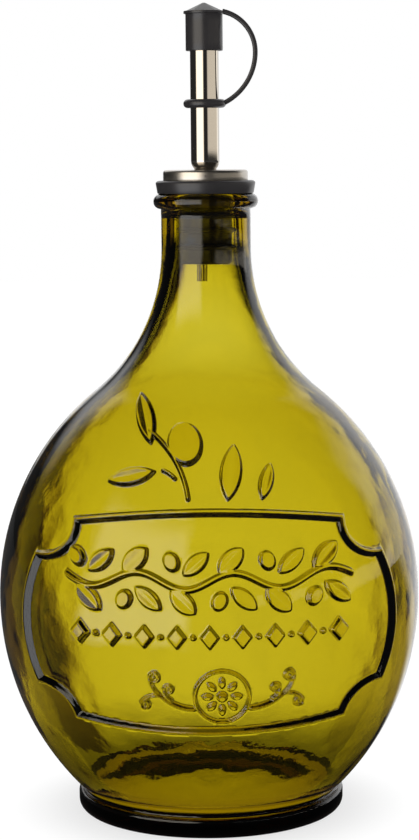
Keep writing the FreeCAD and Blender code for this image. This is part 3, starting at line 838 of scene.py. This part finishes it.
class OILBOTTLE_OT_tether(bpy.types.Operator):
    """Model the ring on the spout and the strap between the cap and the ring"""

    bl_idname = "oilbottle.tether"
    bl_label = "Tether"

    def ring(self, size, level):
        half = size.ring_height / 2
        bore = size.ring_bore / 2
        rim = size.ring_diameter / 2
        centre = (rim - half, level)
        return turned("ring_rubber", [
            (bore, level - half),
            (rim - half, level - half, 1),
            (rim, level, 8, centre),
            (rim - half, level + half, 8, centre),
            (bore, level + half, 1),
            (bore, level - half, 3),
        ], columns=80, width=0.2 * MM, angle=50)

    def half_strap(self, name, size, level, end):
        """One bend of the strap, spun from a flat section in its middle."""
        rounding = 0.45 * MM
        reach = size.strap_reach
        rise = reach - end[0]
        drop = end[1] - level
        bend = (drop ** 2 + rise ** 2) / (2 * rise)
        turn = math.atan2(drop, end[0] - reach + bend)
        turn += math.copysign((size.strap_gap + size.strap_seat) / bend, turn)
        piece = begin(name, reach, level, size.strap_thickness, size.strap_width)
        bpy.ops.mesh.bevel(offset=rounding, segments=3, affect="VERTICES")
        bpy.ops.mesh.select_all(action="SELECT")
        bpy.ops.mesh.spin(steps=36, angle=turn, center=(reach - bend, 0, level), axis=(0, 1, 0))
        tidy_mesh(piece)
        bpy.ops.object.shade_smooth_by_angle(angle=math.radians(40))
        return piece

    def execute(self, context):
        size = context.scene.oil_rubber
        rubber = rubber_material(context)
        tip = spout_tip(context.scene)
        ring_level = tip - size.ring_below_tip
        middle = tip - size.strap_below_tip
        dress(self.ring(size, ring_level), "ring", rubber, "black_rubber", "tether_ring")
        brim_level = tip + size.cap_gap + size.cap_roof - size.brim_thickness / 2
        cap_end = (size.brim_diameter / 2 + size.strap_gap, brim_level)
        ring_end = (size.ring_diameter / 2 + size.strap_gap, ring_level + size.ring_height / 4)
        for name, body, end in (("strap_upper", "cap", cap_end), ("strap_lower", "ring", ring_end)):
            piece = self.half_strap(name, size, middle, end)
            piece.data.materials.append(rubber)
            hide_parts("tether_strap")
            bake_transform(piece)
        return {"FINISHED"}


# Materials and studio

SMOOTH = {"interpolation_type": "SMOOTHSTEP"}


def node(tree, kind, inputs=None, **settings):
    """Add a shader node, set it and fill its inputs; a node as a value links its first output in use."""
    made = tree.nodes.new("ShaderNode" + kind)
    for name, value in settings.items():
        setattr(made, name, value)
    for key, value in (inputs or {}).items():
        if isinstance(value, bpy.types.Node):
            value = next(output for output in value.outputs if output.enabled)
        if isinstance(value, bpy.types.NodeSocket):
            tree.links.new(value, made.inputs[key])
        else:
            made.inputs[key].default_value = value
    return made


def new_material(name):
    material = bpy.data.materials.new(name)
    material.use_nodes = True
    material.node_tree.nodes.clear()
    return material, material.node_tree


def glass_material(context):
    """Soda-lime glass blown in a mould: clear and deep, with faint ripples in its skin."""
    material, tree = new_material("soda_lime_glass_moulded")
    tint = tuple(context.scene.oil_looks.glass) + (1.0,)
    spot = node(tree, "TexCoord").outputs["Object"]
    wave = node(tree, "TexNoise", {"Vector": spot, "Scale": 1 / (15 * MM), "Detail": 1.0})
    ripple = node(tree, "TexNoise", {"Vector": spot, "Scale": 1 / (3 * MM), "Detail": 2.0})
    ripple_share = 0.07
    height = node(tree, "Math", {0: ripple, 1: ripple_share, 2: wave}, operation="MULTIPLY_ADD")
    bump = node(tree, "Bump", {"Strength": 1.0, "Distance": 0.35 * MM, "Height": height})
    skin = node(tree, "BsdfPrincipled", {
        "Base Color": linear("#ffffff"), "Roughness": 0.0, "IOR": GLASS_IOR,
        "Transmission Weight": 1.0, "Normal": bump})
    depth = node(tree, "VolumeAbsorption", {"Color": tint, "Density": context.scene.oil_glass.absorption})
    node(tree, "OutputMaterial", {"Surface": skin, "Volume": depth})
    return material


def rubber_material(context):
    """Black rubber from a satin mould: a soft sheen, fine grain and a little dust.

    The real grain is too fine to show, so it is drawn 0.5 mm coarse.
    """
    name = "moulded_rubber_satin"
    if name in bpy.data.materials:
        return bpy.data.materials[name]
    material, tree = new_material(name)
    looks = context.scene.oil_looks
    spot = node(tree, "TexCoord").outputs["Object"]
    grain = node(tree, "TexNoise", {"Vector": spot, "Scale": 1 / (0.5 * MM), "Detail": 3.0})
    cloud = node(tree, "TexNoise", {"Vector": spot, "Scale": 1 / (6 * MM), "Detail": 2.0})
    base = tuple(looks.rubber) + (1.0,)
    dust = 1.35
    dusty = tuple(dust * c for c in looks.rubber) + (1.0,)
    tone = node(tree, "Mix", {0: cloud, 6: base, 7: dusty}, data_type="RGBA")
    gloss = node(tree, "MapRange", {"Value": cloud, "To Min": 0.26, "To Max": 0.36})
    bump = node(tree, "Bump", {"Strength": 0.15, "Distance": 0.05 * MM, "Height": grain})
    skin = node(tree, "BsdfPrincipled", {
        "Base Color": tone, "Roughness": gloss, "IOR": RUBBER_IOR, "Normal": bump})
    node(tree, "OutputMaterial", {"Surface": skin})
    return material


def steel_material(context, name, sharp, dull):
    """Stainless steel, drawn or pressed and then polished: bright, with faint lines round the piece.

    Real polishing lines are too fine to show, so they are drawn about 0.3 mm apart.
    """
    if name in bpy.data.materials:
        return bpy.data.materials[name]
    material, tree = new_material(name)
    looks = context.scene.oil_looks
    spot = node(tree, "TexCoord").outputs["Object"]
    stretch = node(tree, "Mapping", {"Vector": spot, "Scale": (1.0, 1.0, 14.0)})
    lines = node(tree, "TexNoise", {"Vector": stretch, "Scale": 1 / (4 * MM), "Detail": 4.0})
    gloss = node(tree, "MapRange", {"Value": lines, "To Min": sharp, "To Max": dull})
    bump = node(tree, "Bump", {"Strength": 0.05, "Distance": 0.02 * MM, "Height": lines})
    skin = node(tree, "BsdfPrincipled", {
        "Base Color": tuple(looks.steel) + (1.0,), "Metallic": 1.0, "Roughness": gloss, "Normal": bump})
    node(tree, "OutputMaterial", {"Surface": skin})
    return material


class OILBOTTLE_OT_stage(bpy.types.Operator):
    """Set up the floor, the studio round the bottle and the camera"""

    bl_idname = "oilbottle.stage"
    bl_label = "Studio"

    # White panels seen through the glass, in degrees from each panel's middle: lamps in the world, painted
    # glow on the floor
    MAIN_LEFT = 14
    WORLD_RIGHT = 34
    FLOOR_RIGHT = 20
    CORNER_HALF = 11
    RIGHT_SOFT = 8
    LEFT_SOFT = 7

    # Brightness of the corner panels, how far one of them is dimmed, and the warm tone of soft edges
    WORLD_CORNER = 0.9
    FLOOR_CORNER = 0.7
    DIMMED = 0.8
    GREEN_FALL = 1.15
    BLUE_FALL = 1.3

    # Parts of the studio in degrees: from, to and half of the soft edge; past 180 or -90 there is no edge
    DIM_TURN = (-158, -112, 2)
    PANEL_LIFT = (-91, 4, 3)
    KEY_TURN = (-70, -12, 5)
    KEY_LIFT = (-16, 34, 8)
    FILL_TURN = (22, 122, 5)
    FILL_LIFT = (-1, 4, 1)
    RIGHT_TURN = (114, 400, 8)
    LEFT_TURN = (-400, -164, 4)
    SIDE_LIFT = (-91, 30, 10)
    BACK_TURN = (140, 400, 10)
    TOP_LIFT = (15, 62, 6)
    FLOOR_TURN = (132, 400, 8)

    # Even light on matt pieces, the least that a reflection shows of the room, and the faint painted glow
    # that reflections show of the floor
    EVEN_LIGHT = (0.85, 0.85, 0.85, 1.0)
    ROOM_LIGHT = (0.03, 0.03, 0.03)
    FLOOR_PAINTED_GLOW = 0.06

    FLOOR_SIZE = 6.0
    FLOOR_DROP = 0.02 * MM
    STRIP_HALF = 32 * MM

    CAMERA_PLACE = (0, -0.7283, 0.2096)
    CAMERA_DOWN = 6.67
    CAMERA_ROLL = -0.53
    CAMERA_SHIFT = 0.0022
    CAMERA_LENS = 98.96

    def window(self, tree, value, low, high, soft):
        """1 between two angles in degrees, with soft ends."""
        ends = []
        for angle, before, after in ((low, 0.0, 1.0), (high, 1.0, 0.0)):
            ends.append(node(tree, "MapRange", {
                "Value": value, "To Min": before, "To Max": after, "From Min": math.radians(angle - soft),
                "From Max": math.radians(angle + soft)}, **SMOOTH))
        return node(tree, "Math", {0: ends[0], 1: ends[1]}, operation="MULTIPLY")

    def panels(self, tree, way, spread, reach, corner):
        """The turn of a direction from the front, and white panels at every eighth of a turn.

        The panel behind the bottle on its left is dim, so that the left rim stays dark from the front. On
        the floor these panels are painted glow.
        """
        part = node(tree, "SeparateXYZ", {0: way})
        front = node(tree, "Math", {0: part.outputs["Y"], 1: -1.0}, operation="MULTIPLY")
        turn = node(tree, "Math", {0: part.outputs["X"], 1: front}, operation="ARCTAN2")
        back = node(tree, "Math", {0: spread, 1: -1.0}, operation="MULTIPLY")
        corners = node(tree, "Math", {
            0: self.window(tree, turn, *self.DIM_TURN), 1: -self.DIMMED * corner, 2: corner},
            operation="MULTIPLY_ADD")
        shown = []
        for aim, level, right_end, left_end in (
            (0, 1.0, -reach, self.MAIN_LEFT),
            (45, corners, -self.CORNER_HALF, self.CORNER_HALF),
        ):
            aside = node(tree, "Math", {0: turn, 1: math.radians(aim)}, operation="SUBTRACT")
            panel = node(tree, "Math", {
                0: aside, 1: math.radians(45), 2: math.radians(-45)}, operation="WRAP")
            held = node(tree, "Clamp", {"Value": panel, "Min": back, "Max": spread})
            panel = node(tree, "Math", {0: panel, 1: held}, operation="SUBTRACT")
            right = node(tree, "MapRange", {
                "Value": panel, "From Min": math.radians(right_end),
                "From Max": math.radians(right_end + self.RIGHT_SOFT)}, **SMOOTH)
            left = node(tree, "MapRange", {
                "Value": panel, "From Min": math.radians(left_end - self.LEFT_SOFT),
                "From Max": math.radians(left_end), "To Min": level, "To Max": 0.0}, **SMOOTH)
            shown.append(node(tree, "Math", {0: right, 1: left}, operation="MULTIPLY"))
        red = node(tree, "Math", {0: shown[0], 1: shown[1]}, operation="MAXIMUM")
        green = node(tree, "Math", {0: red, 1: self.GREEN_FALL}, operation="POWER")
        blue = node(tree, "Math", {0: red, 1: self.BLUE_FALL}, operation="POWER")
        return turn, node(tree, "CombineXYZ", {0: red, 1: green, 2: blue})

    def world(self, context):
        """A white studio with black gaps seen through glass, and softboxes seen in reflections."""
        looks = context.scene.oil_looks
        world = bpy.data.worlds.new("studio")
        world.use_nodes = True
        world.cycles.sampling_method = "NONE"
        context.scene.world = world
        tree = world.node_tree
        tree.nodes.clear()
        way = node(tree, "TexCoord").outputs["Generated"]
        turn, panels = self.panels(tree, way, 0.0, self.WORLD_RIGHT, self.WORLD_CORNER)
        back = node(tree, "Math", {0: turn}, operation="ABSOLUTE")
        part = node(tree, "SeparateXYZ", {0: way})
        lift = node(tree, "Math", {0: part.outputs["Z"]}, operation="ARCSINE")
        through = node(tree, "VectorMath", {
            0: panels, "Scale": self.window(tree, lift, *self.PANEL_LIFT)}, operation="SCALE")

        def area(facing, turns, lifts):
            across = self.window(tree, facing, *turns)
            return node(tree, "Math", {0: across, 1: self.window(tree, lift, *lifts)}, operation="MULTIPLY")

        room = self.ROOM_LIGHT
        right = area(turn, self.RIGHT_TURN, self.SIDE_LIFT)
        left = area(turn, self.LEFT_TURN, self.SIDE_LIFT)
        sides = node(tree, "Math", {0: right, 1: left}, operation="MAXIMUM")
        top = area(back, self.BACK_TURN, self.TOP_LIFT)
        for light, strength, shape in (
            (WHITE[:3], 1.0, node(tree, "Math", {0: sides, 1: top}, operation="MAXIMUM")),
            (looks.key_light, looks.key_strength, area(turn, self.KEY_TURN, self.KEY_LIFT)),
            (looks.fill_light, looks.fill_strength, area(turn, self.FILL_TURN, self.FILL_LIFT)),
        ):
            glow = node(tree, "VectorMath", {
                0: [strength * c for c in light], "Scale": shape}, operation="SCALE")
            room = node(tree, "VectorMath", {0: room, 1: glow}, operation="ADD")
        path = node(tree, "LightPath")
        level = self.EVEN_LIGHT
        for ray, seen in (("Glossy", room), ("Transmission", through), ("Camera", WHITE)):
            level = node(tree, "Mix", {
                0: path.outputs["Is " + ray + " Ray"], 6: level, 7: seen}, data_type="RGBA")
        sky = node(tree, "Background", {"Color": level, "Strength": 1.0})
        node(tree, "OutputWorld", {"Surface": sky})

    def floor(self, context):
        """A white sweep that keeps the bottle's shadow, with painted shade near the foot and painted glow
        seen in the glass and in reflections.
        """
        looks = context.scene.oil_looks
        deselect()
        bpy.ops.mesh.primitive_plane_add(size=self.FLOOR_SIZE, location=(0, 0, -self.FLOOR_DROP))
        sweep = bpy.context.object
        sweep.name = "floor"
        material, tree = new_material("white_sweep")
        path = node(tree, "LightPath")
        spot = node(tree, "TexCoord").outputs["Object"]
        away = node(tree, "VectorMath", {0: spot}, operation="LENGTH")
        spread = node(tree, "Math", {0: self.STRIP_HALF, 1: away}, operation="DIVIDE")
        # Painted light: white panels of glow on the floor, seen only through the glass
        turn, panels = self.panels(tree, spot, spread, self.FLOOR_RIGHT, self.FLOOR_CORNER)

        # Painted light and shade on the floor, seen in the glass: painted light under the foot, painted
        # shade beside it, and painted white panels further out
        painted_light_under_foot = node(tree, "MapRange", {
            "Value": away, "From Min": 0.030, "From Max": 0.050, "To Min": 0.8, "To Max": 0.2}, **SMOOTH)
        behind = node(tree, "MapRange", {
            "Value": away, "From Min": 0.05, "From Max": 0.15, "To Min": painted_light_under_foot}, **SMOOTH)
        through = node(tree, "VectorMath", {0: panels, "Scale": behind}, operation="SCALE")

        # Painted light on the floor, seen only in reflections: a painted glow of the softbox where it comes
        # down to the floor at the left, a faint painted glow behind, and the painted shade round the foot
        box_foot = node(tree, "MapRange", {"Value": away, "From Min": 0.26, "From Max": 0.34})
        box = node(tree, "Math", {
            0: self.window(tree, turn, *self.KEY_TURN), 1: box_foot}, operation="MULTIPLY")
        side = node(tree, "Math", {
            0: self.window(tree, turn, *self.FLOOR_TURN), 1: self.FLOOR_PAINTED_GLOW}, operation="ADD")
        lit = node(tree, "Math", {0: box, 1: looks.key_strength, 2: side}, operation="MULTIPLY_ADD")
        painted_glow_in_reflections = node(tree, "Math", {0: lit, 1: behind}, operation="MULTIPLY")
        level = node(tree, "Mix", {
            0: path.outputs["Is Transmission Ray"], 6: painted_glow_in_reflections, 7: through}, data_type="RGBA")
        # The painted glow and shade are an emission, shown only to glossy and transmission rays
        studio = node(tree, "Emission", {"Color": level, "Strength": 1.0})

        # The floor seen by the camera: white paper with the shadow near the foot, partly real and partly
        # painted: the paper glows less there, so the real shadow in its diffuse share shows, and the lower
        # glow adds painted shade of its own
        paint = node(tree, "BsdfDiffuse", {"Color": linear("#fafafa")})
        near = node(tree, "MapRange", {
            "Value": away, "From Min": 0.040, "From Max": 0.070, "To Min": 0.68, "To Max": 0.97}, **SMOOTH)
        glow = node(tree, "Emission", {"Color": WHITE, "Strength": 1.04})
        paper = node(tree, "MixShader", {0: near, 1: paint, 2: glow})
        bent = node(tree, "Math", {
            0: path.outputs["Is Glossy Ray"], 1: path.outputs["Is Transmission Ray"]}, operation="MAXIMUM")
        mixed = node(tree, "MixShader", {0: bent, 1: paint, 2: studio})
        mixed = node(tree, "MixShader", {0: path.outputs["Is Camera Ray"], 1: mixed, 2: paper})
        node(tree, "OutputMaterial", {"Surface": mixed})
        sweep.data.materials.append(material)

    def camera(self, context):
        """A long lens in front, a little above the shoulder."""
        lens = bpy.data.cameras.new("camera")
        lens.lens = self.CAMERA_LENS
        lens.sensor_width = 36.0
        lens.clip_start = 0.01
        lens.shift_x = self.CAMERA_SHIFT
        view = bpy.data.objects.new("camera", lens)
        context.scene.collection.objects.link(view)
        upright = Matrix.Rotation(math.radians(90 - self.CAMERA_DOWN), 4, "X")
        roll = Matrix.Rotation(math.radians(self.CAMERA_ROLL), 4, "Z")
        view.matrix_world = Matrix.Translation(self.CAMERA_PLACE) @ upright @ roll
        context.scene.camera = view

    def execute(self, context):
        self.world(context)
        self.floor(context)
        self.camera(context)
        context.scene.view_settings.view_transform = "Standard"
        return {"FINISHED"}


STEPS = (
    OILBOTTLE_OT_glass,
    OILBOTTLE_OT_stopper,
    OILBOTTLE_OT_steel,
    OILBOTTLE_OT_cap,
    OILBOTTLE_OT_tether,
    OILBOTTLE_OT_stage,
)


class OILBOTTLE_PT_panel(bpy.types.Panel):
    """Lists the steps and the sizes"""

    bl_idname = "OILBOTTLE_PT_panel"
    bl_label = "Glass oil bottle"
    bl_space_type = "VIEW_3D"
    bl_region_type = "UI"
    bl_category = "Oil bottle"

    def draw(self, context):
        for step in STEPS:
            self.layout.operator(step.bl_idname)
        for key in GROUPS:
            group = getattr(context.scene, key)
            box = self.layout.box()
            for name in group.bl_rna.properties.keys():
                if name not in ("rna_type", "name"):
                    box.prop(group, name)


GROUPS = {
    "oil_glass": GlassSizes,
    "oil_pourer": PourerSizes,
    "oil_rubber": RubberSizes,
    "oil_looks": StudioLooks,
}


def register():
    for name, group in GROUPS.items():
        bpy.utils.register_class(group)
        setattr(bpy.types.Scene, name, bpy.props.PointerProperty(type=group))
    for step in STEPS:
        bpy.utils.register_class(step)
    bpy.utils.register_class(OILBOTTLE_PT_panel)


def unregister():
    bpy.utils.unregister_class(OILBOTTLE_PT_panel)
    for step in reversed(STEPS):
        bpy.utils.unregister_class(step)
    for name, group in GROUPS.items():
        delattr(bpy.types.Scene, name)
        bpy.utils.unregister_class(group)


def main():
    register()
    bpy.ops.oilbottle.glass()
    bpy.ops.oilbottle.stopper()
    bpy.ops.oilbottle.steel()
    bpy.ops.oilbottle.cap()
    bpy.ops.oilbottle.tether()
    bpy.ops.oilbottle.stage()


if __name__ == "__main__":
    main()
